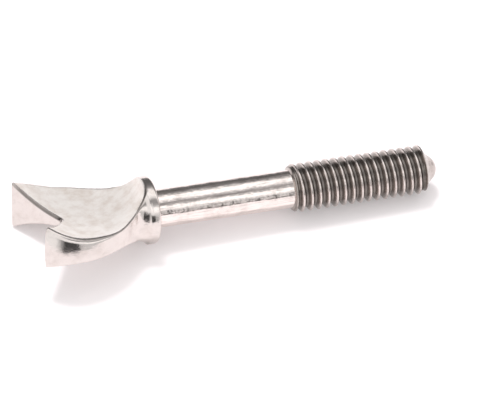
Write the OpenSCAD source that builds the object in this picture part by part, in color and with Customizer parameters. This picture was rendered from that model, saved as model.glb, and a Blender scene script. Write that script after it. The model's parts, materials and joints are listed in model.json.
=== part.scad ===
// Thumb screw with a forked, scooped head, a round collar, a waisted shank,
// a coarse right-hand thread and a cone point. One solid piece of stainless steel.
// It lies as it comes to rest: on the collar's rim, the last turn of the thread
// and the lower corner of one horn.

/* [Head] */
// Length of the head, from the collar's seat to the ends of the horns
head_l = 20.5; // [19.5:0.05:22]
// Width across the widest part of the head
head_w = 21.3; // [19:0.1:24]
// Distance from the seat to the widest part of the head
wide_at = 15.2; // [14:0.05:16]
// Radius of each side in plan, from the widest part to the neck
neck_side_r = 13.5; // [12:0.5:18]
// Radius of each side in plan, from the widest part to the horn's end
horn_side_r = 7.2; // [6.5:0.1:12]
// Radius of the upright edge at each horn's end
horn_tip_r = 0.6; // [0.3:0.05:0.9]
// Depth of the notch between the horns
notch_depth = 5.1; // [3:0.05:7]
// Radius at the bottom of the notch
notch_r = 0.8; // [0.4:0.05:1.5]

/* [Thumb scoop, upper face] */
// Height of the scoop's floor above the screw's axis
top_floor = 0.25; // [0.2:0.05:0.8]
// Radius of the scoop across the head
top_dish_r = 45; // [35:1:80]
// Distance from the seat to where the floor starts to rise to the collar
top_floor_from = 9.95; // [9.9:0.05:11]
// Distance from the seat to where the floor starts to rise to the horns
top_floor_to = 12; // [11.1:0.05:13]
// Radius of the rise to the collar
top_collar_r = 9.7; // [8:0.1:9.7]
// Radius of the rise to the horns
top_horn_r = 13; // [12:0.1:20]

/* [Finger scoop, lower face] */
// Depth of the scoop's floor below the screw's axis
low_floor = 0.95; // [0.7:0.05:1.5]
// Radius of the scoop across the head
low_dish_r = 38; // [30:1:80]
// Distance from the seat to where the floor starts to rise to the collar
low_floor_from = 9.4; // [9.4:0.05:11]
// Distance from the seat to where the floor starts to rise to the horns
low_floor_to = 14.8; // [12:0.05:15.6]
// Radius of the rise to the collar
low_collar_r = 9.6; // [8:0.1:9.6]
// Radius of the rise to the horns
low_horn_r = 10.5; // [8:0.1:20]

/* [Neck and collar] */
// Diameter of the collar
collar_d = 11; // [10.2:0.1:12.4]
// Thickness of the collar's rim
collar_t = 1.5; // [1.2:0.05:2]
// Radius of the rim's edge on the head side
collar_head_r = 0.6; // [0.3:0.05:0.8]
// Radius of the rim's edge on the seat side
collar_seat_r = 0.25; // [0.1:0.05:0.35]
// Diameter of the neck between the head and the collar
neck_d = 9.3; // [8.6:0.1:9.6]
// Length of the straight neck behind the seat
neck_l = 3.1; // [2.6:0.05:3.4]
// Radius where each side runs into the neck, in plan
neck_blend_r = 2.5; // [1.5:0.1:3]
// Angle of the shoulder between the neck and the head
shoulder_a = 50; // [44:1:56]

/* [Shank] */
// Diameter of the waisted shank
shank_d = 6.2; // [5.4:0.05:6.25]
// Length of the shank, from the seat to the thread's shoulder
shank_l = 23.1; // [10:0.1:60]

/* [Thread] */
// Major diameter, over the crests
thread_d = 7.94; // [7.8:0.02:9]
// Pitch of the thread, 18 turns to the inch
pitch = 1.411; // [1.25:0.001:1.5]
// Length of the thread, from its shoulder to the start of the point
thread_l = 22.3; // [8:0.1:60]
// Length of the slope from the shank up to the first crest
shoulder_l = 0.55; // [0.3:0.05:1]

/* [Point] */
// Length of the cone from the last crest
cone_l = 1.75; // [1:0.05:2.2]
// Radius of the cone's small end, where the rounded nose starts
nose_r = 1.75; // [1:0.05:2.2]
// Length of the rounded nose
nose_l = 0.75; // [0.4:0.05:1.2]

/* [Hidden] */
$fn = 120;
eps = 0.01;

half_w = head_w / 2;
collar_r = collar_d / 2;
neck_r = neck_d / 2;
shank_r = shank_d / 2;
thread_r = thread_d / 2;
// A 60 degree thread is 5/8 of its sharp V deep, with a crest 1/8 of the pitch wide.
thread_depth = 5 / 8 * pitch * cos(30);
root_r = thread_r - thread_depth;
thread_x = shank_l;
cone_x = shank_l + thread_l;
nose_x = cone_x + cone_l;
tip_x = nose_x + nose_l;

// The side of the head on +Y in plan: two arcs that meet at the widest part
neck_side_c = [-wide_at, half_w - neck_side_r];
horn_side_c = [-wide_at, half_w - horn_side_r];

// The upright edge at the end of the horn on +Y is a small arc inside the side's arc.
tip_c_x = -head_l + horn_tip_r;
tip_c = [
    tip_c_x,
    horn_side_c.y + sqrt(pow(horn_side_r - horn_tip_r, 2) - pow(tip_c_x - horn_side_c.x, 2))
];
// The bottom of the notch is an arc, and the flank touches it and the horn's edge.
root_c = [-head_l + notch_depth - notch_r, 0];
flank_d = root_c - tip_c;
flank_a = atan2(flank_d.y, flank_d.x) - acos((horn_tip_r + notch_r) / norm(flank_d));
flank_n = [cos(flank_a), sin(flank_a)];
flank_tip = tip_c + horn_tip_r * flank_n;
flank_root = root_c - notch_r * flank_n;
side_n = (tip_c - horn_side_c) / norm(tip_c - horn_side_c);
side_tip = tip_c + horn_tip_r * side_n;

// The hollow blend between each side and the neck touches both.
blend_c = [
    neck_side_c.x + sqrt(pow(neck_side_r + neck_blend_r, 2)
        - pow(neck_r + neck_blend_r - neck_side_c.y, 2)),
    neck_r + neck_blend_r
];
blend_side = neck_side_c + (blend_c - neck_side_c) * neck_side_r / (neck_side_r + neck_blend_r);

// The screw's rest: its tilt from the collar's rim and the thread's end, and its
// roll until a horn's lower corner meets the surface.
rim_x = -collar_seat_r;
tilt = atan((collar_r - thread_r) / (cone_x - rim_x));
axis_z = rim_x * sin(tilt) + collar_r * cos(tilt);
// Depth of the lower scoop's edge below the axis, where the head's outline passes p
function horn_rise(x) = low_horn_r - sqrt(pow(low_horn_r, 2) - pow(-x - low_floor_to, 2));
function edge_low(p) = low_floor + low_dish_r - sqrt(pow(low_dish_r - horn_rise(p.x), 2) - pow(p.y, 2));
// Roll at which the lower edge at p meets the surface
function roll_at(p, low) =
    asin((axis_z - p.x * sin(tilt)) / cos(tilt) / norm([p.y, low])) - atan(low / p.y);
side_a = atan2(side_n.y, side_n.x);
horn_edge = concat(
    [for (i = [0 : 20]) let (a = 90 + (side_a - 90) * i / 20) horn_side_c + horn_side_r * [cos(a), sin(a)]],
    [for (a = [side_a : 5 : 180]) tip_c + horn_tip_r * [cos(a), sin(a)]]
);
roll = min([for (p = horn_edge) roll_at(p, edge_low(p))]);
// The middle of the whole length goes over the origin.
mid_x = (tip_x - head_l) / 2 * cos(tilt);

// The part of the head on +Y in plan, a little over the middle line
module side_half() {
    over = 1;
    intersection() {
        translate(neck_side_c) circle(neck_side_r);
        translate([-wide_at, -over]) square([wide_at - collar_t, half_w + 2 * over]);
    }
    intersection() {
        translate(horn_side_c) circle(horn_side_r);
        translate([-head_l - horn_side_r, -over])
            square([head_l + horn_side_r - wide_at + eps, half_w + 2 * over]);
    }
}

// The hollow corner between the side on +Y and the neck
module neck_blend() {
    difference() {
        polygon([
            [blend_side.x, 0],
            blend_side,
            blend_c,
            [blend_c.x, neck_r],
            [blend_c.x, 0]
        ]);
        translate(blend_c) circle(neck_blend_r);
    }
}

// What the notch takes away on +Y, with the corner beyond the horn's edge
module notch_half() {
    polygon([
        [root_c.x, 0],
        flank_root,
        flank_tip,
        side_tip,
        side_tip + 2 * side_n,
        [-head_l - horn_side_r, side_tip.y + 2],
        [-head_l - horn_side_r, 0]
    ]);
}

// The head seen from above
module head_plan() {
    difference() {
        union() {
            side_half();
            mirror([0, 1]) side_half();
            translate([-wide_at, -neck_r]) square([wide_at - collar_t / 2, neck_d]);
            neck_blend();
            mirror([0, 1]) neck_blend();
        }
        notch_half();
        mirror([0, 1]) notch_half();
        translate(root_c) circle(notch_r);
    }
    translate(tip_c) circle(horn_tip_r);
    translate([tip_c.x, -tip_c.y]) circle(horn_tip_r);
}

// A round body about the screw's axis, from its outline in radius and place along the axis
module turned() {
    rotate([0, 90, 0]) rotate_extrude() children();
}

// The round blank that the neck and the shoulder are part of
module blank() {
    out_r = head_w;
    out_x = -neck_l - (out_r - neck_r) / tan(shoulder_a);
    turned() polygon([
        [0, -head_l - 1],
        [out_r, -head_l - 1],
        [out_r, out_x],
        [neck_r, -neck_l],
        [neck_r, -collar_t / 2],
        [0, -collar_t / 2]
    ]);
}

// One scoop: a tool that turns about a line above the head and sinks to floor_z
module scoop(floor_z, dish_r, from_x, to_x, collar_side_r, horn_side_r) {
    translate([0, 0, floor_z + dish_r]) turned() {
        intersection() {
            translate([dish_r - collar_side_r, -from_x]) circle(collar_side_r);
            translate([0, -from_x]) square([dish_r + 1, collar_side_r + 1]);
        }
        intersection() {
            translate([dish_r - horn_side_r, -to_x]) circle(horn_side_r);
            translate([0, -to_x - horn_side_r - 1]) square([dish_r + 1, horn_side_r + 1]);
        }
        translate([0, -to_x]) square([dish_r, to_x - from_x]);
        translate([0, -from_x - eps]) square([dish_r - collar_side_r, collar_side_r + eps]);
        translate([0, -to_x - horn_side_r]) square([dish_r - horn_side_r, horn_side_r + eps]);
    }
}

// The collar's rim, rounded on both edges, with a hollow corner at the neck
module collar() {
    turned() {
        difference() {
            translate([0, -collar_t]) square([collar_r, collar_t]);
            translate([collar_r - collar_head_r, -collar_t - eps])
                square([collar_head_r + 1, collar_head_r + eps]);
            translate([collar_r - collar_seat_r, -collar_seat_r])
                square([collar_seat_r + 1, collar_seat_r + eps]);
        }
        translate([collar_r - collar_head_r, -collar_t + collar_head_r]) circle(collar_head_r);
        translate([collar_r - collar_seat_r, -collar_seat_r]) circle(collar_seat_r);
    }
}

// The forked head, cut from the blank by the plan and the two scoops
module head() {
    difference() {
        union() {
            intersection() {
                linear_extrude(height = 2 * collar_d, center = true) head_plan();
                blank();
            }
            collar();
        }
        scoop(top_floor, top_dish_r, top_floor_from, top_floor_to, top_collar_r, top_horn_r);
        mirror([0, 0, 1])
            scoop(low_floor, low_dish_r, low_floor_from, low_floor_to, low_collar_r, low_horn_r);
    }
}

// The waisted shank, its end inside the thread
module shank() {
    turned() translate([0, -collar_t / 2]) square([shank_r, shank_l + (collar_t + pitch) / 2]);
}

// The threaded length: a right-hand helix of grooves with flat bottoms. It starts in
// a cone inside the shank and ends in a chamfer inside the point.
module thread() {
    steps = 24;
    crest = pitch / 8;
    half_top = (pitch - crest) / 2;
    half_root = half_top - thread_depth * tan(30);
    // Rise of the shoulder, and fall of the chamfer at the end, in radius over length
    shoulder_rise = (thread_r - shank_r) / shoulder_l;
    end_fall = 1.7;
    // How far the hidden ends reach, as a part of the helix's own advance
    start_part = 0.4;
    end_part = 0.3;
    // Place along the axis and radius of a point at x on the helix, within the two ends
    function start_point(x, r) = [x, min(r, shank_r + shoulder_rise * (x - thread_x))];
    function end_point(x, r) = [x, min(r, thread_r - end_fall * (x - cone_x))];
    function held(x, r) =
        x < thread_x ? start_point(thread_x + start_part * (x - thread_x), r)
        : x > cone_x ? end_point(cone_x + end_part * (x - cone_x), r)
        : start_point(x, r);
    section = [
        [-half_top, thread_r],
        [-half_root, root_r],
        [half_root, root_r],
        [half_top, thread_r]
    ];
    last = steps * (ceil(thread_l / pitch) + 2);
    helix = [
        for (i = [0 : last], p = section)
            let (a = 360 * i / steps, q = held(thread_x + pitch * (i / steps - 1) + p[0], p[1]))
            [q[0], q[1] * cos(a), q[1] * sin(a)]
    ];
    start_c = len(helix);
    end_c = start_c + 1;
    points = concat(helix, [[thread_x - start_part * pitch, 0, 0], [cone_x + end_part * pitch, 0, 0]]);
    // The point after j in step i; the fourth is followed by the next turn's first
    function after(i, j) = j < 3 ? 4 * i + j + 1 : 4 * (i + steps);
    skin = [
        for (i = [0 : last - 1], j = [0 : 3])
            if (j < 3 || i + 1 + steps <= last)
                for (f = [
                    [4 * i + j, after(i, j), after(i + 1, j)],
                    [4 * i + j, after(i + 1, j), 4 * (i + 1) + j]
                ])
                    f
    ];
    start_cap = [for (i = [0 : steps - 1]) [start_c, 4 * i, 4 * i + 4]];
    start_cut = [for (j = [0 : 3]) [start_c, after(0, j), j]];
    end_cap = [for (i = [last - steps : last - 1]) [end_c, 4 * i + 7, 4 * i + 3]];
    end_cut = [for (j = [0 : 2]) [end_c, 4 * last + j, 4 * last + j + 1]];
    end_join = [[end_c, 4 * (last - steps) + 3, 4 * last]];
    polyhedron(
        points = points,
        faces = concat(skin, start_cap, start_cut, end_cap, end_cut, end_join),
        convexity = 10
    );
}

// The cone point with its rounded nose
module point() {
    // The nose is a cap of a ball through the cone's small end
    ball_r = (nose_r * nose_r + nose_l * nose_l) / (2 * nose_l);
    turned() {
        polygon([
            [0, cone_x - eps],
            [root_r, cone_x - eps],
            [root_r, cone_x],
            [nose_r, nose_x],
            [0, nose_x]
        ]);
        intersection() {
            translate([0, tip_x - ball_r]) circle(ball_r);
            translate([0, nose_x - eps]) square([nose_r, nose_l + 1]);
        }
    }
}

module thumb_screw() {
    color([0.84, 0.82, 0.80])
        translate([-mid_x, 0, axis_z])
            rotate([0, tilt, 0])
                rotate([-roll, 0, 0]) {
                    head();
                    shank();
                    thread();
                    point();
                }
}

thumb_screw();
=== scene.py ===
"""Thumb screw: a forked, dished head with a collar, a waisted shank, a coarse thread and
a cone point, in polished stainless steel. It lies on a pale floor under soft studio light.
"""
import json
import math
from types import SimpleNamespace

import bpy
import numpy as np
from bpy.props import FloatProperty, FloatVectorProperty, IntProperty, PointerProperty
from mathutils import Matrix, Vector


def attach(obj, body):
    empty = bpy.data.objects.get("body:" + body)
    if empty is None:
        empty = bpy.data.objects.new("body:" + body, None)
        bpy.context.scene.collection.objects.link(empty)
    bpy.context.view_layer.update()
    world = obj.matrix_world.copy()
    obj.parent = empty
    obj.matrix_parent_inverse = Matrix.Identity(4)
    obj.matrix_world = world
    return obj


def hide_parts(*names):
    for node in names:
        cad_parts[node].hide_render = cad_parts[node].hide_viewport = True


bl_info = {
    "name": "Thumb Screw",
    "version": (1, 0, 0),
    "blender": (4, 5, 0),
    "location": "3D View > Sidebar > Thumb Screw",
    "description": "Builds the dressed thumb screw over its packed model",
    "category": "Add Mesh",
}

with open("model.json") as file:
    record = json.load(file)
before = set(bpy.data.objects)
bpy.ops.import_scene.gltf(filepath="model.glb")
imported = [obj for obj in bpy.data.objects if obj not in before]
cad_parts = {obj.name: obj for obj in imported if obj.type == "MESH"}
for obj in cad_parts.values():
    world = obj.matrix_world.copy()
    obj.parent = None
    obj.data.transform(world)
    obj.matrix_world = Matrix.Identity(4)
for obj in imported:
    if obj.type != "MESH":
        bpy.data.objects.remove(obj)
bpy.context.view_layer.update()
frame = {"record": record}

# The shapes are worked out in millimetres, in the screw's own axes: x along the screw with
# the collar's seat at 0 and the point at +x, y across the head, z through its thickness.
MM = 0.001
NODE = "thumb_screw"

MOUNTS = {mount["name"]: mount for mount in frame["record"]["mounts"]}
THREAD_MOUNT = MOUNTS["thread"]
SEAT_MOUNT = MOUNTS["seat"]


def at_rest():
    """The matrix from the screw's own axes to where it lies, and the length of its shank.

    The thread's mount is on the screw's axis, and the seat's is off it, along its own z.
    """
    along = Vector(THREAD_MOUNT["axis"]).normalized()
    thread = Vector(THREAD_MOUNT["pos_m"]) / MM
    seat = Vector(SEAT_MOUNT["pos_m"]) / MM
    shank = (thread - seat).dot(along)
    centre = thread - along * shank
    up = (seat - centre).normalized()
    turn = Matrix((along, up.cross(along), up)).transposed()
    return Matrix.Translation(centre) @ turn.to_4x4(), shank


REST, SHANK_LENGTH = at_rest()

# Forms of the head, in millimetres. A pair of values is the stretch over which something
# sets in. Places are measured from the seat towards the horns, or across the head where
# the comment says so.
RIM_HEAD = 1.0  # Rounding of the collar's rim towards the head
RIM_SEAT = 0.55  # Rounding of the collar's rim towards the seat
HOLLOW = 1.8  # Widest fillet between the neck and the collar
HOLLOW_LEAST = 0.05  # The fillet that is left at the rim
HOLLOW_OVER = (1.2, 2.6)  # Where the fillet widens
NECK_BLEND = 2.4  # Blend between the sides in plan and the neck
SHOULDER = 3.6  # Where the turned neck starts to widen
NECK_ROUND = 0.6  # Rounding where it widens
SHOULDER_LEAN = math.radians(50)  # How steeply it widens
BLANK_EDGE = 0.5  # Rounding between the neck and the scoops
NECK_START = 0.7  # Where the neck starts, inside the collar
NEAR_OVER = 4.0  # Across: how soon the near side's form sets in
HORN_OVER = (7.0, 14.0)  # Where the horns' edges and crown set in
CROWN_LOW = 1.0  # How far below the axis the near side's crown has its top
FAR_OVER = (2.0, 8.0)  # Across: where the far horn is drawn out
FAR_FROM = (15.0, 20.0)  # Where it is drawn out along the screw
FAR_LIFT = 0.4  # How much the far horn's top is lifted at its end
LIFT_OVER = (3.0, 7.0)  # Across: where it is lifted
LIFT_FROM = (13.5, 19.5)  # Where it is lifted along the screw
NOTCH_LEAN = math.radians(33.7)  # Between a flank of the notch and the screw's axis
NOTCH_ROUND = 0.28  # Square of how far from its middle the notch's bottom is round
NOTCH_APART = 0.519  # How far each flank stands out, so that the bottom stays in place
CHAMFER_TILT = math.radians(20)  # Between the chamfer and the flank
CHAMFER_EDGE = 0.1  # Rounding between them

# Each scoop: height of its floor from the axis, radius across, where the floor starts and
# ends, and the radii of its rise to the collar and to the horns
TOP_SCOOP = dict(floor=0.25, radius=45.0, start=9.95, end=12.0, r_collar=9.7, r_horn=13.0)
LOW_SCOOP = dict(floor=0.95, radius=38.0, start=9.4, end=14.8, r_collar=9.6, r_horn=10.5)
STEEPEST = 0.985  # Share of a rise's radius past which it stays level

# Marks on the head, in millimetres: painted dark reflections along two edges, and a painted
# shadow under the collar
LINE_WIDTH = 0.15  # Half the width of a painted dark reflection line
EDGE_LINE_OVER = (18.5, 14.5)  # Where the painted dark reflection on the near edge sets in
NOTCH_LINE_OVER = (21.0, 19.5)  # Where the painted dark reflection on the notch's chamfer sets in
NOTCH_LINE_IN = 0.12  # How far inside the notch's flank that line reaches
SATIN_IN = 0.12  # The satin's start, in from the notch and the neck
SATIN_OVER = 0.3  # Width over which it sets in
SATIN_EDGE = 0.6  # Share of an edge's rounding that stays polished
# A painted shadow under the collar, near where it meets the floor
COLLAR_SHADOW_AT = (1.9, -3.0, -4.2)  # From the seat, across and up
COLLAR_SHADOW_SIZE = 0.9  # Square of its radius
COLLAR_SHADOW_DARK = 0.7  # How dark it is, from 0 to 1

# Forms of the shaft, in millimetres
FLANK = math.radians(30)  # Half of the groove's angle
DEEP = 5 / 8 * math.cos(FLANK)  # Depth of the groove, in pitches
ROOT_ROUND = 0.16  # Rounding of the roots
CREST_ROUND = 0.14  # Rounding of the crests
STEP = 0.5  # Height of the thread's shoulder, where it leaves the shank
STEP_OVER = 0.3  # Length over which it rises
GROW_OVER = (0.3, 0.8)  # From the shoulder: where the first turn grows
CUT_OVER = (0.1, 0.9)  # From the shoulder: where the groove grows
UNCUT = 0.05  # How much the uncut bar stands over the crests
END_SLOPE = 1.7  # How steeply the last turn falls to the cone
COVER_ROUND = 0.08  # Rounding of the shoulder and of the cone's base
END_ROUND = 0.12  # Rounding of the last turn's end
END_OVER = (-0.3, 1.2)  # From the thread's end: where it blends into the cone

# The depth mark lays painted shade on the shaft: in the grooves, and a little on the crests,
# shoulder and point
# Depth marked on the shaft, from 0 to 1, and where its marks begin and end, in millimetres
MARK_LEAST = 0.12  # On the crests
CREST_DEPTH = 0.12  # How deep the crests reach, in millimetres
MARK_POINT = 0.26  # On the point, which gets painted shade
MARK_SHOULDER = 0.3  # Least on the shoulder
MARKS_FROM = 0.2  # From the thread's start
MARKS_TO = 0.25  # From the thread's end
SHOULDER_TO = 0.5  # Where the shoulder's marks end, from the thread's start

# The scored line on the shank, in millimetres
LINE_HEIGHT = 0.42  # The highest that it lies above the axis
LINE_DRIFT = 0.35  # How far it wanders down from there
LINE_NEAR = (-2.2, -2.6)  # Across: where it sets in
LINE_ENDS = (SHANK_LENGTH - 0.2, SHANK_LENGTH)  # Where it fades out at the thread

# Rings of points on the shaft, in millimetres and counts: close together from just before
# the thread to just after it, and further apart on the shank, the cone and the nose
RING_STEP = 0.045
CLOSE_BEFORE = 0.15
CLOSE_AFTER = 1.3
SHANK_RINGS = 24
CONE_RINGS = 8
NOSE_RINGS = 13
SHAFT_IN = 0.4  # How far the shaft reaches into the collar

# The space in which the head's skin is made, in millimetres
ROOM = 0.4  # Left free at the head's sides and at the seat
HORN_REACH = 20.65  # A little more than the near horn's length from the seat
HALF_HEIGHT = 6.2  # Half of its height

# Brightness of the light tent by angle, in degrees, from the horizon behind the screw,
# over its top, to the horizon behind the camera: white cloths with darker gaps
TENT = (
    (0, 0.26), (12, 0.17), (28, 0.17), (40, 0.22), (48, 0.34), (54, 0.52), (60, 0.85),
    (65, 1.5), (88, 1.5), (94, 1.0), (99, 0.70), (104, 0.50), (112, 0.42), (118, 0.50),
    (125, 0.75), (131, 1.6), (144, 1.6), (150, 1.15), (157, 1.0), (163, 0.80),
    (170, 0.85), (180, 0.85),
)
CLOTH = 1.25  # Brightness of the cloths at the left
ROOM_DARK = 0.1  # What is left of the brightness in the dark room

# The camera's right and up in the screw's own axes, and the middle of its picture, in
# pixels right of and above the middle of the collar's rim
CAMERA_RIGHT = (0.9511, -0.3086, -0.0111)
CAMERA_UP = (0.1427, 0.4068, 0.9020)
PICTURE_WIDTH = 500
RIM_MIDDLE = (-0.25, 0.0, 0.0)
AIM_RIGHT = 99.5
AIM_UP = 9.5

KEY_FROM = (-1.16, 4.96, 12.7)  # Direction that the soft light comes from
FLOOR_HALF = 1.5  # Half the floor's width, in metres


class HeadSizes(bpy.types.PropertyGroup):
    """Sizes of the forked head and the collar"""

    width: FloatProperty(
        name="Width", description="Across the widest part", default=0.0213, unit="LENGTH"
    )
    wide_at: FloatProperty(
        name="Widest At",
        description="From the seat to the widest part",
        default=0.0152,
        unit="LENGTH",
    )
    neck_side_r: FloatProperty(
        name="Neck Side Radius",
        description="Side in plan, towards the neck",
        default=0.0135,
        unit="LENGTH",
    )
    horn_side_r: FloatProperty(
        name="Horn Side Radius",
        description="Side in plan, towards the horn",
        default=0.0072,
        unit="LENGTH",
    )
    side_crown_r: FloatProperty(
        name="Side Crown",
        description="Radius of the near side through its thickness",
        default=0.013,
        unit="LENGTH",
    )
    far_horn: FloatProperty(
        name="Far Horn",
        description="How much longer the horn at +y is",
        default=0.00045,
        unit="LENGTH",
    )
    notch_at: FloatProperty(
        name="Notch Bottom",
        description="From the seat to the bottom of the notch",
        default=0.0154,
        unit="LENGTH",
    )
    edge_near: FloatProperty(
        name="Near Edge",
        description="Rounding of the top scoop's edge at the near horn",
        default=0.0011,
        unit="LENGTH",
    )
    edge_far: FloatProperty(
        name="Far Edge",
        description="Rounding of the top scoop's edge at the far horn",
        default=0.0006,
        unit="LENGTH",
    )
    edge_low: FloatProperty(
        name="Lower Edge",
        description="Rounding of the lower scoop's edges",
        default=0.0003,
        unit="LENGTH",
    )
    edge_neck: FloatProperty(
        name="Neck Edge",
        description="Rounding of the scoops' edges near the neck",
        default=0.0003,
        unit="LENGTH",
    )
    notch_edge: FloatProperty(
        name="Notch Edge",
        description="Rounding of the scoops' edges at the notch",
        default=0.00015,
        unit="LENGTH",
    )
    chamfer: FloatProperty(
        name="Notch Chamfer",
        description="Height of the chamfer on the notch's upper edges",
        default=0.00062,
        unit="LENGTH",
    )
    collar_d: FloatProperty(
        name="Collar Diameter", description="Across the rim", default=0.011, unit="LENGTH"
    )
    collar_t: FloatProperty(
        name="Collar Thickness", description="Along the screw", default=0.0021, unit="LENGTH"
    )
    neck_w: FloatProperty(
        name="Neck Width",
        description="Across the neck in plan",
        default=0.0091,
        unit="LENGTH",
    )
    neck_d: FloatProperty(
        name="Neck Diameter",
        description="Over the neck's corners",
        default=0.0107,
        unit="LENGTH",
    )
    grid: FloatProperty(
        name="Grid",
        description="Spacing of the skin's points",
        default=0.00014,
        unit="LENGTH",
    )


class ShaftSizes(bpy.types.PropertyGroup):
    """Sizes of the shank, the thread and the point"""

    shank_d: FloatProperty(
        name="Shank Diameter", description="Across the shank", default=0.0062, unit="LENGTH"
    )
    shank_l: FloatProperty(
        name="Shank Length",
        description="From the seat to the thread",
        default=SHANK_LENGTH * MM,
        unit="LENGTH",
    )
    thread_d: FloatProperty(
        name="Thread Diameter",
        description="Over the crests",
        default=2 * THREAD_MOUNT["dims"]["r_mm"] * MM,
        unit="LENGTH",
    )
    pitch: FloatProperty(
        name="Pitch", description="Spacing of the crests", default=0.001411, unit="LENGTH"
    )
    thread_l: FloatProperty(
        name="Thread Length",
        description="From the shoulder to the point",
        default=THREAD_MOUNT["dims"]["length_mm"] * MM,
        unit="LENGTH",
    )
    cone_l: FloatProperty(
        name="Cone Length",
        description="From the thread to the nose",
        default=0.00175,
        unit="LENGTH",
    )
    nose_r: FloatProperty(
        name="Nose Radius",
        description="Radius of the point where the nose starts",
        default=0.00175,
        unit="LENGTH",
    )
    nose_l: FloatProperty(
        name="Nose Length",
        description="From the cone to the tip",
        default=0.00075,
        unit="LENGTH",
    )
    around: IntProperty(name="Around", description="Points round the shaft", default=128)


class SteelLook(bpy.types.PropertyGroup):
    """Colour and finish of the stainless steel"""

    tint: FloatVectorProperty(
        name="Tint",
        description="Colour of the shaft's polished steel",
        subtype="COLOR",
        default=(0.9, 0.815, 0.78),
    )
    head_tint: FloatVectorProperty(
        name="Head Tint",
        description="Colour of the head's polished steel",
        subtype="COLOR",
        default=(0.735, 0.678, 0.65),
    )
    stain: FloatVectorProperty(
        name="Stain",
        description="Colour of the faint stains in the polish",
        subtype="COLOR",
        default=(0.62, 0.55, 0.515),
    )
    score: FloatVectorProperty(
        name="Score",
        description="Colour of the scores along the screw",
        subtype="COLOR",
        default=(0.36, 0.31, 0.29),
    )
    # Painted shade in the grooves, and lighter on the crests, shoulder and point
    groove_shade: FloatVectorProperty(
        name="Groove",
        description="Colour of the thread's grooves",
        subtype="COLOR",
        default=(0.29, 0.26, 0.24),
    )
    root: FloatVectorProperty(
        name="Root",
        description="Shade laid over the grooves' roots",
        subtype="COLOR",
        default=(0.72, 0.72, 0.72),
    )
    scored_line: FloatVectorProperty(
        name="Scored Line",
        description="Colour of the fine scored line on the shank",
        subtype="COLOR",
        default=(0.14, 0.115, 0.10),
    )
    # Painted dark reflections on the head's edges, and the painted shadow under the collar
    painted_dark: FloatVectorProperty(
        name="Dark Line",
        description="Colour of the lines on the head's edges",
        subtype="COLOR",
        default=(0.16, 0.14, 0.13),
    )
    cloud: FloatVectorProperty(
        name="Cloud",
        description="Shade laid over the satin's clouds",
        subtype="COLOR",
        default=(0.75, 0.70, 0.66),
    )
    satin_tint: FloatVectorProperty(
        name="Satin Tint",
        description="Paleness added in the top scoop",
        subtype="COLOR",
        default=(0.76, 0.645, 0.575),
    )
    roughness: FloatProperty(
        name="Roughness", description="Blur of the polish", default=0.12, subtype="FACTOR"
    )
    groove_blur: FloatProperty(
        name="Groove Blur",
        description="Blur added in the thread's grooves",
        default=0.22,
        subtype="FACTOR",
    )
    satin_blur: FloatProperty(
        name="Satin Blur",
        description="Blur added in the top scoop",
        default=0.3,
        subtype="FACTOR",
    )
    satin_metal: FloatProperty(
        name="Satin Metal",
        description="Share of the top scoop that mirrors",
        default=0.35,
        subtype="FACTOR",
    )


class StudioLook(bpy.types.PropertyGroup):
    """Floor, light and camera"""

    distance: FloatProperty(
        name="Camera Distance", description="From the screw", default=2.2, unit="LENGTH"
    )
    scale: FloatProperty(
        name="Scale",
        description="The picture's pixels in a millimetre at the screw",
        default=6.234,
    )
    light: FloatProperty(
        name="Light", description="Strength of the light tent", default=0.89
    )
    key: FloatProperty(
        name="Key Light", description="Strength of the soft light overhead", default=1.38
    )
    key_size: FloatProperty(
        name="Key Size",
        description="How wide the soft light looks from the screw",
        default=math.radians(14),
        subtype="ANGLE",
    )
    floor: FloatVectorProperty(
        name="Floor",
        description="Colour of the floor",
        subtype="COLOR",
        default=(0.85, 0.805, 0.815),
    )
    lift: FloatProperty(
        name="Floor Lift",
        description="How much the floor is whitened in the picture",
        default=0.2,
        subtype="FACTOR",
    )


def in_millimetres(sizes):
    """One group's sizes in millimetres, as the shapes below take them."""
    found = SimpleNamespace()
    for name in sizes.__annotations__:
        value = getattr(sizes, name)
        setattr(found, name, value if isinstance(value, int) else round(value / MM, 4))
    return found


def fade(value, start, end):
    """0 at start, 1 at end, and straight between."""
    return np.clip((value - start) / (end - start), 0.0, 1.0)


def ease(value, start, end):
    """0 at start, 1 at end, and a smooth step between."""
    t = fade(value, start, end)
    return t * t * (3 - 2 * t)


def smooth_max(a, b, k):
    """The larger of two distances, with the edge between them rounded over k."""
    h = np.maximum(k - np.abs(a - b), 0.0) / k
    return np.maximum(a, b) + h * h * k / 4


def smooth_min(a, b, k):
    """The smaller of two distances, with the hollow corner between them filled over k."""
    return -smooth_max(-a, -b, k)


def scoop(s, y, floor, radius, start, end, r_collar, r_horn):
    """Height of a scoop's surface from the axis, and how steep it is, at s from the seat."""
    to_collar = np.clip(start - s, 0.0, r_collar * STEEPEST)
    to_horn = np.clip(s - end, 0.0, r_horn * STEEPEST)
    down_collar = np.sqrt(r_collar**2 - to_collar**2)
    down_horn = np.sqrt(r_horn**2 - to_horn**2)
    rise = (r_collar - down_collar) + (r_horn - down_horn)
    slope = to_collar / down_collar + to_horn / down_horn
    across = np.sqrt(np.maximum((radius - rise) ** 2 - y * y, 1.0))
    return floor + radius - across, np.sqrt(1 + slope**2 + (y / across) ** 2)


def plan_distance(p, s, y):
    """Distance to the sides of the head and neck, seen in plan."""
    out = np.abs(y) - p.width / 2
    to_neck = np.hypot(s - p.wide_at, out + p.neck_side_r) - p.neck_side_r
    to_horn = np.hypot(s - p.wide_at, out + p.horn_side_r) - p.horn_side_r
    side = np.where(s > p.wide_at, to_horn, to_neck)
    return smooth_min(side, np.abs(y) - p.neck_w / 2, NECK_BLEND)


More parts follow.
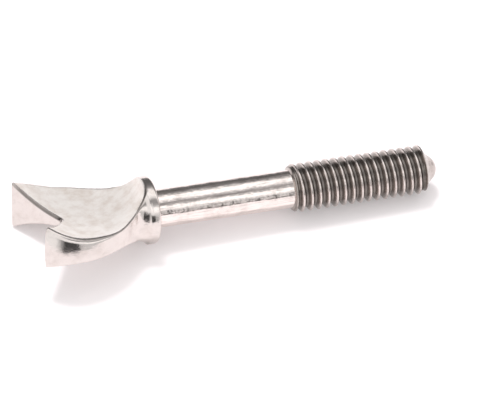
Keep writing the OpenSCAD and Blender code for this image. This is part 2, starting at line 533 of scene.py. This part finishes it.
def collar_distance(p, s, r):
    """Distance to the collar, whose rim is rounder on the head's side."""
    rim = np.where(s > p.collar_t / 2, RIM_HEAD, RIM_SEAT)
    along = np.abs(s - p.collar_t / 2) - p.collar_t / 2 + rim
    out = r - p.collar_d / 2 + rim
    inner = np.minimum(np.maximum(along, out), 0.0) - rim
    return inner + np.hypot(np.maximum(along, 0.0), np.maximum(out, 0.0))


def notch_distance(p, s, y, top):
    """Distance to the notch's flanks, which meet in a round and are chamfered at the top."""
    across = np.sqrt(y * y + NOTCH_ROUND) - NOTCH_APART
    flank = (s - p.notch_at) * math.cos(NOTCH_LEAN) - across * math.sin(NOTCH_LEAN)
    chamfer = flank + math.tan(CHAMFER_TILT) * (top + p.chamfer)
    return smooth_max(flank, chamfer * math.cos(CHAMFER_TILT), CHAMFER_EDGE)


def blank_distance(p, s, r):
    """Distance to the turned blank, a round neck that widens to the head."""
    neck = r - p.neck_d / 2
    shoulder = neck - (s - SHOULDER) * math.tan(SHOULDER_LEAN)
    return smooth_min(neck, shoulder * math.cos(SHOULDER_LEAN), NECK_ROUND)


def painted_dark_marks(p, s, y, z, near, top, side, notch):
    """1 on painted dark reflections at the scoop's near edge and on the notch's chamfer, and
    a painted shadow under the collar at the neck.
    """
    edge = np.exp(-(((top - side) / LINE_WIDTH) ** 2)) * near * fade(s, *EDGE_LINE_OVER)
    chamfer = fade(top, -p.chamfer, LINE_WIDTH - p.chamfer)
    chamfer = chamfer * fade(notch, -NOTCH_LINE_IN, 0.0) * fade(s, *NOTCH_LINE_OVER)
    # The painted shadow under the collar
    collar_shadow = (s - COLLAR_SHADOW_AT[0]) ** 2 + (y - COLLAR_SHADOW_AT[1]) ** 2 / 2 + (z - COLLAR_SHADOW_AT[2]) ** 2
    collar_shadow = COLLAR_SHADOW_DARK * np.exp(-collar_shadow / COLLAR_SHADOW_SIZE)
    return np.maximum(np.maximum(edge, chamfer), collar_shadow)


def head_distance(p, x, y, z):
    """Rough distance to the skin of the head and collar, below 0 inside.

    With it come a mark that is 1 in the top scoop and one that is 1 on the painted dark
    reflections and shadow.
    """
    r = np.hypot(y, z)
    s = -x - p.far_horn * fade(y, *FAR_OVER) * fade(-x, *FAR_FROM)
    near = fade(-y, 0.0, NEAR_OVER)
    at_horn = ease(s, *HORN_OVER)
    collar = collar_distance(p, s, r)
    hollow = ease(s, *HOLLOW_OVER) * HOLLOW + HOLLOW_LEAST
    side = smooth_min(plan_distance(p, s, y), collar, hollow)
    side = side + near * at_horn * (z + CROWN_LOW) ** 2 / (2 * p.side_crown_r)

    top, top_steep = scoop(s, y, **TOP_SCOOP)
    low, low_steep = scoop(s, y, **LOW_SCOOP)
    top = (z - top - FAR_LIFT * fade(y, *LIFT_OVER) * fade(s, *LIFT_FROM)) / top_steep
    low = (-z - low) / low_steep
    # The sides' edges are rounder at the horns than at the neck
    edge = p.edge_far + (p.edge_near - p.edge_far) * near
    edge = p.edge_neck + (edge - p.edge_neck) * at_horn
    edge_low = p.edge_low * (2.0 - near)
    body = smooth_max(smooth_max(side, low, edge_low), top, edge)
    notch = notch_distance(p, s, y, top)
    body = smooth_max(body, notch, p.notch_edge)
    blank = smooth_min(blank_distance(p, s, r), collar, np.minimum(hollow, NECK_ROUND))
    body = np.maximum(smooth_max(body, blank, BLANK_EDGE), NECK_START - s)

    from_edges = np.minimum(top - notch, top - blank) - SATIN_IN
    satin = fade(np.minimum(top - side - SATIN_EDGE * edge, from_edges), 0.0, SATIN_OVER)
    # Painted dark reflections on two edges, and a painted shadow under the collar
    line = painted_dark_marks(p, s, y, z, near, top, np.maximum(side, blank), notch)
    return smooth_min(body, collar, np.minimum(hollow, BLANK_EDGE)), satin, line


def gradient(field, points, step=0.01):
    """Slope of the field at each point."""
    out = np.empty_like(points)
    for axis in range(3):
        shift = np.zeros(3)
        shift[axis] = step
        out[:, axis] = field(*(points + shift).T) - field(*(points - shift).T)
    return out / (2 * step)


def skin(field, low, high, step):
    """Points, four-sided faces and normals of the surface where the field is 0."""
    axes = [np.arange(a, b + step, step) for a, b in zip(low, high)]
    values = np.empty(tuple(len(a) for a in axes))
    yy, zz = np.meshgrid(axes[1], axes[2], indexing="ij")
    for i, x in enumerate(axes[0]):
        values[i] = field(np.full_like(yy, x), yy, zz)
    inside = values < 0

    # One point in each cell that the surface crosses, in the middle of its crossings
    cells = tuple(n - 1 for n in values.shape)
    corners = [(i, j, k) for i in (0, 1) for j in (0, 1) for k in (0, 1)]
    total = np.zeros(cells, dtype=np.int8)
    for i, j, k in corners:
        total += inside[i : i + cells[0], j : j + cells[1], k : k + cells[2]]
    where = np.argwhere((total > 0) & (total < 8))
    number = np.full(cells, -1, dtype=np.int64)
    number[tuple(where.T)] = np.arange(len(where))
    spots = np.zeros((len(where), 3))
    hits = np.zeros(len(where))
    for a in corners:
        for axis in range(3):
            if a[axis]:
                continue
            b = tuple(c + (1 if n == axis else 0) for n, c in enumerate(a))
            fa = values[tuple((where + a).T)]
            fb = values[tuple((where + b).T)]
            cross = (fa < 0) != (fb < 0)
            share = np.where(cross, fa / np.where(cross, fa - fb, 1.0), 0.0)
            point = where + np.array(a, dtype=float)
            point[:, axis] += share
            spots[cross] += point[cross]
            hits[cross] += 1
    spots = spots / hits[:, None] * step + np.array([a[0] for a in axes])

    # The points are drawn onto the surface along its slope
    for _ in range(4):
        slope = gradient(field, spots)
        size = np.maximum((slope**2).sum(axis=1), 0.05)
        move = (field(*spots.T) / size)[:, None] * slope
        length = np.sqrt((move**2).sum(axis=1))
        spots -= move * np.minimum(1.0, 0.5 * step / np.maximum(length, 1e-9))[:, None]

    # A face round each grid edge that the surface crosses
    faces = []
    for axis in range(3):
        u, v = [(1, 2), (2, 0), (0, 1)][axis]
        first = [slice(None)] * 3
        second = [slice(None)] * 3
        first[axis] = slice(0, -1)
        second[axis] = slice(1, None)
        a = inside[tuple(first)]
        b = inside[tuple(second)]
        for flag, flip in ((a & ~b, False), (~a & b, True)):
            e = np.argwhere(flag)
            e = e[(e[:, u] > 0) & (e[:, v] > 0)]
            e = e[(e[:, u] < cells[u]) & (e[:, v] < cells[v])]
            ring = []
            for du, dv in ((-1, -1), (0, -1), (0, 0), (-1, 0)):
                c = e.copy()
                c[:, u] += du
                c[:, v] += dv
                ring.append(number[tuple(c.T)])
            quad = np.stack(ring, axis=1)
            faces.append(quad[:, ::-1] if flip else quad)
    normals = gradient(field, spots)
    normals /= np.maximum(np.linalg.norm(normals, axis=1), 1e-9)[:, None]
    return spots, np.concatenate(faces), normals


def add_piece(name, points, faces, normals, red, green):
    """A smooth mesh of the screw, riding on its body and standing for its solid.

    Its marks layer tells the material what is where. Red is the satin scoop on the head,
    and on the shaft the grooves' depth, which sets their painted shade. Green is the head's
    painted dark reflections and painted shadow.
    """
    rest = np.array(REST)
    turn, move = rest[:3, :3].T, rest[:3, 3]
    mesh = bpy.data.meshes.new(name)
    mesh.from_pydata(((points @ turn + move) * MM).tolist(), [], faces)
    mesh.update()
    mesh.shade_smooth()
    mesh.normals_split_custom_set_from_vertices((normals @ turn).tolist())
    layer = mesh.color_attributes.new("marks", "FLOAT_COLOR", "POINT")
    marks = np.ones((len(points), 4), dtype=np.float32)
    marks[:, 0] = red
    marks[:, 1] = green
    layer.data.foreach_set("color", marks.ravel())
    piece = bpy.data.objects.new(name, mesh)
    bpy.context.scene.collection.objects.link(piece)
    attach(piece, "root")
    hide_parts(NODE)
    return piece


def feed(socket, value):
    """Links another node's output to a socket, or sets the socket's own value."""
    if isinstance(value, bpy.types.NodeSocket):
        socket.id_data.links.new(value, socket)
    else:
        socket.default_value = value


def node(tree, kind, where, **values):
    """A shader node at a place in the tree. values go to its inputs or its settings."""
    made = tree.nodes.new(kind)
    made.location = where
    for key, value in values.items():
        if key in made.inputs.keys():
            feed(made.inputs[key], value)
        else:
            setattr(made, key, value)
    return made


def calc(tree, where, operation, *values):
    """One step of arithmetic on numbers, each given or another node's output."""
    made = node(tree, "ShaderNodeMath", where, operation=operation)
    for socket, value in zip(made.inputs, values):
        feed(socket, value)
    return made.outputs[0]


def mix(tree, where, amount, colour, other, blend_type="MIX"):
    """A colour with some of another in it."""
    made = node(tree, "ShaderNodeMix", where, data_type="RGBA", blend_type=blend_type)
    for index, value in ((0, amount), (6, colour), (7, other)):
        feed(made.inputs[index], value)
    return made.outputs[2]


def span(tree, where, value, source, target=(0.0, 1.0)):
    """A value carried from one range to another."""
    made = node(tree, "ShaderNodeMapRange", where)
    ends = ("From Min", "From Max", "To Min", "To Max")
    feed(made.inputs["Value"], value)
    for name, end in zip(ends, (*source, *target)):
        made.inputs[name].default_value = end
    return made.outputs["Result"]


def noise(tree, where, place, scale, detail, rough):
    """A cloud texture. scale is one number, or three that stretch it along the screw."""
    if isinstance(scale, tuple):
        stretch = node(tree, "ShaderNodeMapping", (where[0] - 200, where[1]), Vector=place)
        stretch.inputs["Scale"].default_value = scale
        place, scale = stretch.outputs["Vector"], 1.0
    made = node(
        tree,
        "ShaderNodeTexNoise",
        where,
        Vector=place,
        Scale=scale,
        Detail=detail,
        Roughness=rough,
    )
    return made.outputs["Fac"]


def bump(tree, where, height, strength, distance, over=None):
    """A normal that follows a height, over another bump's normal."""
    made = node(tree, "ShaderNodeBump", where, Height=height, Strength=strength)
    made.inputs["Distance"].default_value = distance
    if over is not None:
        feed(made.inputs["Normal"], over)
    return made.outputs["Normal"]


def opaque(colour):
    """A colour with full alpha, as the nodes take it."""
    return (*colour, 1.0)


def grooved(tree, look, place, colour, depth):
    """The shaft's colour: painted shade in the grooves, with a fine scored line on the shank.
    """
    # Painted shade, deepest in the grooves
    dark = span(tree, (-500, 600), depth, (0.0, 0.45), (0.0, 0.95))
    colour = mix(tree, (0, 400), dark, colour, opaque(look.groove_shade))
    roots = span(tree, (-300, 700), depth, (0.6, 1.0))
    colour = mix(tree, (150, 400), roots, colour, opaque(look.root), "MULTIPLY")

    # The line wanders along the near side, broken by specks
    spot = node(tree, "ShaderNodeSeparateXYZ", (-900, 1200), Vector=place)
    drift = noise(tree, (-900, 1500), place, (0.3, 0.0, 0.0), 3.0, 0.55)
    height = calc(tree, (-700, 1300), "MULTIPLY_ADD", drift, LINE_DRIFT, spot.outputs["Z"])
    away = calc(tree, (-500, 1300), "SUBTRACT", height, LINE_HEIGHT)
    away = calc(tree, (-300, 1300), "ABSOLUTE", away)
    specks = noise(tree, (-900, 1800), place, (0.9, 3.0, 3.0), 4.0, 0.75)
    fine = calc(
        tree,
        (100, 1300),
        "MULTIPLY",
        span(tree, (-100, 1300), away, (0.05, 0.13), (1.0, 0.0)),
        span(tree, (-500, 1800), specks, (0.38, 0.52), (0.1, 0.75)),
    )
    speckled = calc(
        tree,
        (100, 1600),
        "MULTIPLY",
        span(tree, (-100, 1600), away, (0.2, 1.0), (1.0, 0.0)),
        span(tree, (-500, 2100), specks, (0.54, 0.66), (0.0, 0.45)),
    )
    on_shank = calc(
        tree,
        (300, 1700),
        "MULTIPLY",
        span(tree, (100, 1900), spot.outputs["Y"], LINE_NEAR),
        span(tree, (100, 2200), spot.outputs["X"], LINE_ENDS, (1.0, 0.0)),
    )
    both = calc(tree, (300, 1400), "MAXIMUM", fine, speckled)
    worn = calc(tree, (500, 1500), "MULTIPLY", both, on_shank)
    return mix(tree, (450, 500), worn, colour, opaque(look.scored_line))


def scooped(tree, look, stain, colour, satin, line):
    """The head's colour: pale and clouded in the satin scoop, dark on the painted reflection
    lines and painted shadow.
    """
    tint = opaque(look.satin_tint)
    colour = mix(tree, (0, 400), satin, colour, tint, "SCREEN")
    clouds = span(tree, (-100, 700), stain, (0.40, 0.66), (0.0, 0.65))
    clouds = calc(tree, (100, 700), "MULTIPLY", clouds, satin)
    colour = mix(tree, (200, 400), clouds, colour, opaque(look.cloud), "MULTIPLY")
    # The marks' green lays on the painted dark reflections and the painted shadow
    dark = span(tree, (100, 900), line, (0.0, 1.0), (0.0, 0.85))
    return mix(tree, (300, 500), dark, colour, opaque(look.painted_dark))


def steel(name, look, tint, grain, scores, scored, waves, pitted, blur, dished):
    """Polished stainless steel with polishing lines, scores, faint stains, waves and pits.

    grain and scores stretch the lines and the scores along the screw. scored, waves and
    pitted are the strengths of scores, waves and pits. blur is added where the mesh's marks
    are red: in the scoop if the piece is dished, and in the grooves if it isn't.
    """
    material = bpy.data.materials.new(name)
    material.use_nodes = True
    tree = material.node_tree
    tree.nodes.clear()
    shader = node(tree, "ShaderNodeBsdfPrincipled", (600, 0), Metallic=1.0)
    node(tree, "ShaderNodeOutputMaterial", (900, 0), Surface=shader.outputs["BSDF"])
    # The textures follow the screw's own axes, in millimetres
    scene_place = node(tree, "ShaderNodeTexCoord", (-1800, 0)).outputs["Object"]
    back = REST.inverted()
    own = node(
        tree,
        "ShaderNodeMapping",
        (-1600, 0),
        Vector=scene_place,
        Location=back.to_translation(),
        Rotation=back.to_euler(),
        Scale=(1 / MM, 1 / MM, 1 / MM),
    )
    place = own.outputs["Vector"]
    layer = node(tree, "ShaderNodeVertexColor", (-1100, 600), layer_name="marks")
    marks = node(tree, "ShaderNodeSeparateColor", (-900, 600), Color=layer.outputs["Color"])
    red = marks.outputs["Red"]

    stain = noise(tree, (-1100, 300), place, 0.45, 6.0, 0.65)
    stained = span(tree, (-700, 300), stain, (0.48, 0.68), (0.0, 0.55))
    colour = mix(tree, (-300, 300), stained, opaque(tint), opaque(look.stain))
    streak = noise(tree, (-1100, 900), place, scores, 5.0, 0.7)
    streaked = span(tree, (-700, 900), streak, (0.52, 0.66), (0.0, scored))
    colour = mix(tree, (-100, 500), streaked, colour, opaque(look.score))
    if dished:
        colour = scooped(tree, look, stain, colour, red, marks.outputs["Green"])
        metal = span(tree, (300, 600), red, (0.0, 1.0), (1.0, look.satin_metal))
        feed(shader.inputs["Metallic"], metal)
    else:
        colour = grooved(tree, look, place, colour, red)
    feed(shader.inputs["Base Color"], colour)

    lines = noise(tree, (-1100, 0), place, grain, 3.0, 0.6)
    polish = (look.roughness - 0.04, look.roughness + 0.05)
    rough = span(tree, (-700, 0), lines, (0.35, 0.65), polish)
    dull = span(tree, (-700, 150), stain, (0.45, 0.75), (0.0, 0.08))
    rough = calc(tree, (0, 0), "ADD", rough, dull)
    rough = calc(tree, (200, 0), "MULTIPLY_ADD", red, blur, rough)
    feed(shader.inputs["Roughness"], rough)

    wavy = noise(tree, (-1100, -600), place, 0.5, 2.0, 0.5)
    normal = bump(tree, (100, -600), wavy, waves, 0.3 * MM)
    normal = bump(tree, (250, -350), lines, 0.16, 0.06 * MM, normal)
    pits = noise(tree, (-1100, -300), place, 2.6, 2.0, 0.7)
    pits = span(tree, (-700, -300), pits, (0.30, 0.42))
    normal = bump(tree, (400, -250), pits, pitted, 0.05 * MM, normal)
    feed(shader.inputs["Normal"], normal)
    return material


class THUMBSCREW_OT_head(bpy.types.Operator):
    """Build the forked head with its neck and collar"""

    bl_idname = "thumbscrew.head"
    bl_label = "Build Head"

    def execute(self, context):
        p = in_millimetres(context.scene.thumbscrew_head)
        look = context.scene.thumbscrew_steel

        def field(x, y, z):
            return head_distance(p, x, y, z)[0]

        half = p.width / 2 + ROOM
        low = (-HORN_REACH - p.far_horn, -half, -HALF_HEIGHT)
        points, faces, normals = skin(field, low, (ROOM, half, HALF_HEIGHT), p.grid)
        if len(faces) < 1000:
            raise RuntimeError("the head's skin came out empty")
        _, satin, line = head_distance(p, *points.T)
        piece = add_piece("forked_head", points, faces.tolist(), normals, satin, line)
        material = steel(
            "steel_head",
            look,
            tint=look.head_tint,
            grain=(0.42, 2.6, 2.6),
            scores=(0.5, 1.1, 1.1),
            scored=0.12,
            waves=0.18,
            pitted=0.07,
            blur=look.satin_blur,
            dished=True,
        )
        piece.data.materials.append(material)
        return {"FINISHED"}


def shaft_sizes(group):
    """The shaft's sizes in millimetres, with where its thread, cone and nose start."""
    p = in_millimetres(group)
    p.thread_r = p.thread_d / 2
    p.depth = DEEP * p.pitch
    p.root_r = p.thread_r - p.depth
    p.start = p.shank_l
    p.end = p.start + p.thread_l
    p.nose = p.end + p.cone_l
    p.tip = p.nose + p.nose_l
    return p


def groove_radius(p, x, a):
    """Radius of the thread's 60 degree groove, rounded at its roots and crests."""
    turns = (x - p.start) / p.pitch - a / (2 * math.pi)
    off = np.abs(turns - np.round(turns)) * p.pitch
    half_root = p.pitch * 7 / 16 - p.depth * math.tan(FLANK)
    flank = p.root_r + (off - half_root) / math.tan(FLANK)
    wave = smooth_max(flank, np.full_like(flank, p.root_r), ROOT_ROUND)
    return smooth_min(wave, np.full_like(flank, p.thread_r), CREST_ROUND)


def point_radius(p, x):
    """Radius of the cone, and of the rounded nose beyond it."""
    cone = p.root_r - (p.root_r - p.nose_r) * (x - p.end) / p.cone_l
    ball = (p.nose_r**2 + p.nose_l**2) / (2 * p.nose_l)
    cap = np.sqrt(np.maximum(ball**2 - (x - (p.tip - ball)) ** 2, 0.0))
    point = np.where(x > p.nose, cap, cone)
    return np.where(x < p.end + END_OVER[0], 0.0, point)


def shaft_radius(p, x, a):
    """Radius of the shank, thread and point at x and angle a, and its depth in a groove."""
    shank_r = p.shank_d / 2
    # The shoulder: a short step, then the first turn grows to the full depth
    cover = shank_r + STEP * ease(x - p.start, 0.0, STEP_OVER)
    cover = cover + (p.thread_r - shank_r - STEP) * fade(x - p.start, *GROW_OVER)
    bar_r = p.thread_r + UNCUT
    wave = bar_r - (bar_r - groove_radius(p, x, a)) * fade(x - p.start, *CUT_OVER)
    body = smooth_min(wave, cover, COVER_ROUND)
    body = smooth_min(body, p.thread_r - END_SLOPE * (x - p.end), END_ROUND)
    body = np.where(x < p.start, shank_r, body)
    # The last turn runs out into the cone
    point = point_radius(p, x)
    radius = smooth_max(body, point, COVER_ROUND)
    radius = np.where(x > p.end + END_OVER[0], radius, body)
    radius = np.where(x > p.end + END_OVER[1], point, radius)

    # Depth in the groove, which sets the painted shade, is never quite 0 on the thread and
    # the point
    deep = fade(p.thread_r - radius, CREST_DEPTH, p.depth)
    deep = MARK_LEAST + (1.0 - MARK_LEAST) * deep
    deep = np.where(x > p.start + MARKS_FROM, deep, 0.0)
    deep = np.where(x < p.end + MARKS_TO, deep, MARK_POINT)
    shoulder = (x > p.start) & (x < p.start + SHOULDER_TO)
    return radius, np.where(shoulder, np.maximum(deep, MARK_SHOULDER), deep)


class THUMBSCREW_OT_shaft(bpy.types.Operator):
    """Build the waisted shank, the right-hand thread and the cone point"""

    bl_idname = "thumbscrew.shaft"
    bl_label = "Build Shaft"

    def execute(self, context):
        p = shaft_sizes(context.scene.thumbscrew_shaft)
        look = context.scene.thumbscrew_steel
        if not 0 < p.shank_d < p.thread_d:
            raise RuntimeError("the shank has to be thinner than the thread")
        close = p.start - CLOSE_BEFORE
        closed = p.end + CLOSE_AFTER
        nose_turn = np.linspace(0, math.pi / 2, NOSE_RINGS, endpoint=False)
        rows = np.concatenate([
            np.linspace(-SHAFT_IN, close, SHANK_RINGS, endpoint=False),
            np.arange(close, closed, RING_STEP),
            np.linspace(closed, p.nose, CONE_RINGS, endpoint=False),
            p.tip - p.nose_l * np.cos(nose_turn),
        ])
        around = p.around
        turn = np.arange(around) * 2 * math.pi / around
        x, angle = np.meshgrid(rows, turn, indexing="ij")
        radius, deep = shaft_radius(p, x, angle)

        # The surface's slopes along the screw and about it give the normals
        d = 0.004
        along = shaft_radius(p, x + d, angle)[0] - shaft_radius(p, x - d, angle)[0]
        about = shaft_radius(p, x, angle + d)[0] - shaft_radius(p, x, angle - d)[0]
        tilt = about / (2 * d) / np.maximum(radius, 0.05)
        across = np.cos(angle) + tilt * np.sin(angle)
        up = np.sin(angle) - tilt * np.cos(angle)
        normals = np.stack([-along / (2 * d), across, up], axis=2).reshape(-1, 3)
        normals /= np.linalg.norm(normals, axis=1)[:, None]
        points = np.stack([x, radius * np.cos(angle), radius * np.sin(angle)], axis=2)
        points = points.reshape(-1, 3)

        # Rings of quads, closed by a fan of triangles at each end
        i, j = np.meshgrid(np.arange(len(rows) - 1), np.arange(around), indexing="ij")
        this = i * around
        after = this + around
        k = (j + 1) % around
        quads = np.stack([this + j, this + k, after + k, after + j], axis=2)
        faces = quads.reshape(-1, 4).tolist()
        apex = len(points)
        last = (len(rows) - 1) * around
        faces += [[last + q, last + (q + 1) % around, apex] for q in range(around)]
        faces += [[(q + 1) % around, q, apex + 1] for q in range(around)]
        points = np.vstack([points, [p.tip, 0, 0], [rows[0], 0, 0]])
        normals = np.vstack([normals, [1, 0, 0], [-1, 0, 0]])
        deep = np.append(deep.ravel(), [0.0, 0.0])
        piece = add_piece("threaded_shaft", points, faces, normals, deep, 0.0)
        material = steel(
            "steel_shaft",
            look,
            tint=look.tint,
            grain=(0.26, 5.2, 5.2),
            scores=(0.16, 2.6, 2.6),
            scored=0.5,
            waves=0.4,
            pitted=0.12,
            blur=look.groove_blur,
            dished=False,
        )
        piece.data.materials.append(material)
        return {"FINISHED"}


def light_tent(scene, strength):
    """Light from all round: bands of white cloth overhead and in front, with darker gaps."""
    world = bpy.data.worlds.new("light_tent")
    scene.world = world
    world.use_nodes = True
    tree = world.node_tree
    tree.nodes.clear()
    place = node(tree, "ShaderNodeTexCoord", (-900, 0)).outputs["Generated"]
    parts = node(tree, "ShaderNodeSeparateXYZ", (-700, 0), Vector=place)
    x, y, z = parts.outputs["X"], parts.outputs["Y"], parts.outputs["Z"]

    # 0 at the horizon behind the screw, 1 at the horizon behind the camera
    turn = calc(tree, (-500, 0), "ARCTAN2", z, y)
    turn = calc(tree, (-300, 0), "DIVIDE", turn, math.pi)
    ramp = node(tree, "ShaderNodeValToRGB", (-100, 0), Fac=turn)
    stops = ramp.color_ramp.elements
    while len(stops) < len(TENT):
        stops.new(0.5)
    for stop, (angle, value) in zip(stops, TENT):
        stop.position = angle / 180
        stop.color = (value, value, value, 1.0)

    # More cloth at the left, overhead and beside the screw
    over = calc(
        tree,
        (-300, 400),
        "MULTIPLY",
        span(tree, (-500, 400), z, (0.35, 0.60)),
        span(tree, (-500, 700), x, (0.10, -0.12)),
    )
    in_front = span(tree, (-500, 1600), y, (0.35, 0.10))
    over = calc(tree, (-200, 500), "MULTIPLY", over, in_front)
    beside = calc(
        tree,
        (-300, 1000),
        "MULTIPLY",
        span(tree, (-500, 1000), x, (-0.40, -0.60)),
        span(tree, (-500, 1300), y, (0.1, -0.15)),
    )
    wide = calc(tree, (-100, 700), "MAXIMUM", over, beside)
    cloth = mix(tree, (200, 200), wide, ramp.outputs[0], (CLOTH, CLOTH, CLOTH, 1.0))

    # The dark room under the cloth, in front of the screw, which its near side mirrors
    front = calc(
        tree,
        (-100, -600),
        "MULTIPLY",
        span(tree, (-300, -600), x, (0.28, 0.21)),
        span(tree, (-300, -900), y, (-0.45, -0.60)),
    )
    side = span(tree, (-300, -1200), x, (-0.74, -0.40))
    front = calc(tree, (0, -600), "MULTIPLY", front, side)
    level = span(tree, (-500, -300), z, (0.32, 0.46), (1.0, 0.0))
    room = calc(tree, (0, -300), "MULTIPLY", level, front)
    shade = span(tree, (100, -300), room, (0.0, 1.0), (1.0, ROOM_DARK))
    scaled = node(tree, "ShaderNodeVectorMath", (300, 0), operation="SCALE", Scale=shade)
    feed(scaled.inputs[0], cloth)
    back = node(tree, "ShaderNodeBackground", (700, 0), Strength=strength)
    feed(back.inputs["Color"], scaled.outputs[0])
    node(tree, "ShaderNodeOutputWorld", (900, 0), Surface=back.outputs[0])


def white_floor(look):
    """A matt floor that looks a little whiter to the camera and in the steel."""
    material = bpy.data.materials.new("floor_white")
    material.use_nodes = True
    tree = material.node_tree
    tree.nodes.clear()
    matt = node(tree, "ShaderNodeBsdfDiffuse", (0, 0), Color=opaque(look.floor))
    lift = node(tree, "ShaderNodeEmission", (0, -200), Strength=look.lift)
    lifted = node(tree, "ShaderNodeAddShader", (200, -100))
    feed(lifted.inputs[0], matt.outputs[0])
    feed(lifted.inputs[1], lift.outputs[0])
    ray = node(tree, "ShaderNodeLightPath", (-400, 300)).outputs
    seen = calc(tree, (-200, 300), "MAXIMUM", ray["Is Camera Ray"], ray["Is Glossy Ray"])
    seen = calc(tree, (0, 300), "MAXIMUM", seen, ray["Is Transmission Ray"])
    pick = node(tree, "ShaderNodeMixShader", (400, 0))
    for socket, value in zip(pick.inputs, (seen, matt.outputs[0], lifted.outputs[0])):
        feed(socket, value)
    node(tree, "ShaderNodeOutputMaterial", (600, 0), Surface=pick.outputs[0])
    return material


def look_down(look):
    """The camera, which looks down on the screw from the horns' end, a little rolled."""
    turn = REST.to_3x3()
    right = turn @ Vector(CAMERA_RIGHT)
    up = turn @ Vector(CAMERA_UP)
    back = right.cross(up).normalized()
    up = back.cross(right).normalized()
    right.normalize()
    aim = REST @ Vector(RIM_MIDDLE) + (right * AIM_RIGHT + up * AIM_UP) / look.scale
    data = bpy.data.cameras.new("camera")
    data.sensor_width = 36.0
    data.lens = data.sensor_width * look.scale * look.distance / MM / PICTURE_WIDTH
    data.clip_end = 10.0
    camera = bpy.data.objects.new("camera", data)
    place = Matrix.Translation(aim * MM + back * look.distance)
    camera.matrix_world = place @ Matrix((right, up, back)).transposed().to_4x4()
    return camera


class THUMBSCREW_OT_studio(bpy.types.Operator):
    """Set the floor, the light tent and the camera"""

    bl_idname = "thumbscrew.studio"
    bl_label = "Set Studio"

    def execute(self, context):
        scene = context.scene
        look = scene.thumbscrew_studio
        if look.distance <= 0:
            raise RuntimeError("the camera needs a distance")
        mesh = bpy.data.meshes.new("floor")
        r = FLOOR_HALF
        mesh.from_pydata([(-r, -r, 0), (r, -r, 0), (r, r, 0), (-r, r, 0)], [], [(0, 1, 2, 3)])
        mesh.materials.append(white_floor(look))
        floor = bpy.data.objects.new("floor", mesh)
        scene.collection.objects.link(floor)

        light_tent(scene, look.light)
        lamp = bpy.data.lights.new("key_light", "SUN")
        lamp.energy = look.key
        lamp.angle = look.key_size
        key = bpy.data.objects.new("key_light", lamp)
        key.rotation_euler = Vector(KEY_FROM).to_track_quat("Z", "Y").to_euler()
        # The steel mirrors the tent alone
        key.visible_glossy = False
        scene.collection.objects.link(key)

        camera = look_down(look)
        scene.collection.objects.link(camera)
        scene.camera = camera
        scene.view_settings.view_transform = "Standard"
        return {"FINISHED"}


class THUMBSCREW_PT_panel(bpy.types.Panel):
    """The thumb screw's steps and sizes"""

    bl_idname = "THUMBSCREW_PT_panel"
    bl_label = "Thumb Screw"
    bl_space_type = "VIEW_3D"
    bl_region_type = "UI"
    bl_category = "Thumb Screw"

    def draw(self, context):
        groups = (
            (context.scene.thumbscrew_steel, None),
            (context.scene.thumbscrew_head, THUMBSCREW_OT_head),
            (context.scene.thumbscrew_shaft, THUMBSCREW_OT_shaft),
            (context.scene.thumbscrew_studio, THUMBSCREW_OT_studio),
        )
        for group, step in groups:
            box = self.layout.box()
            for name in group.__annotations__:
                box.prop(group, name)
            if step:
                box.operator(step.bl_idname)


GROUPS = {
    "thumbscrew_head": HeadSizes,
    "thumbscrew_shaft": ShaftSizes,
    "thumbscrew_steel": SteelLook,
    "thumbscrew_studio": StudioLook,
}
CLASSES = (
    *GROUPS.values(),
    THUMBSCREW_OT_head,
    THUMBSCREW_OT_shaft,
    THUMBSCREW_OT_studio,
    THUMBSCREW_PT_panel,
)


def register():
    for kind in CLASSES:
        bpy.utils.register_class(kind)
    for name, group in GROUPS.items():
        setattr(bpy.types.Scene, name, PointerProperty(type=group))


def unregister():
    for name in GROUPS:
        delattr(bpy.types.Scene, name)
    for kind in reversed(CLASSES):
        bpy.utils.unregister_class(kind)


def main():
    """Builds the screw and its studio."""
    register()
    bpy.ops.thumbscrew.head()
    bpy.ops.thumbscrew.shaft()
    bpy.ops.thumbscrew.studio()


if __name__ == "__main__":
    main()
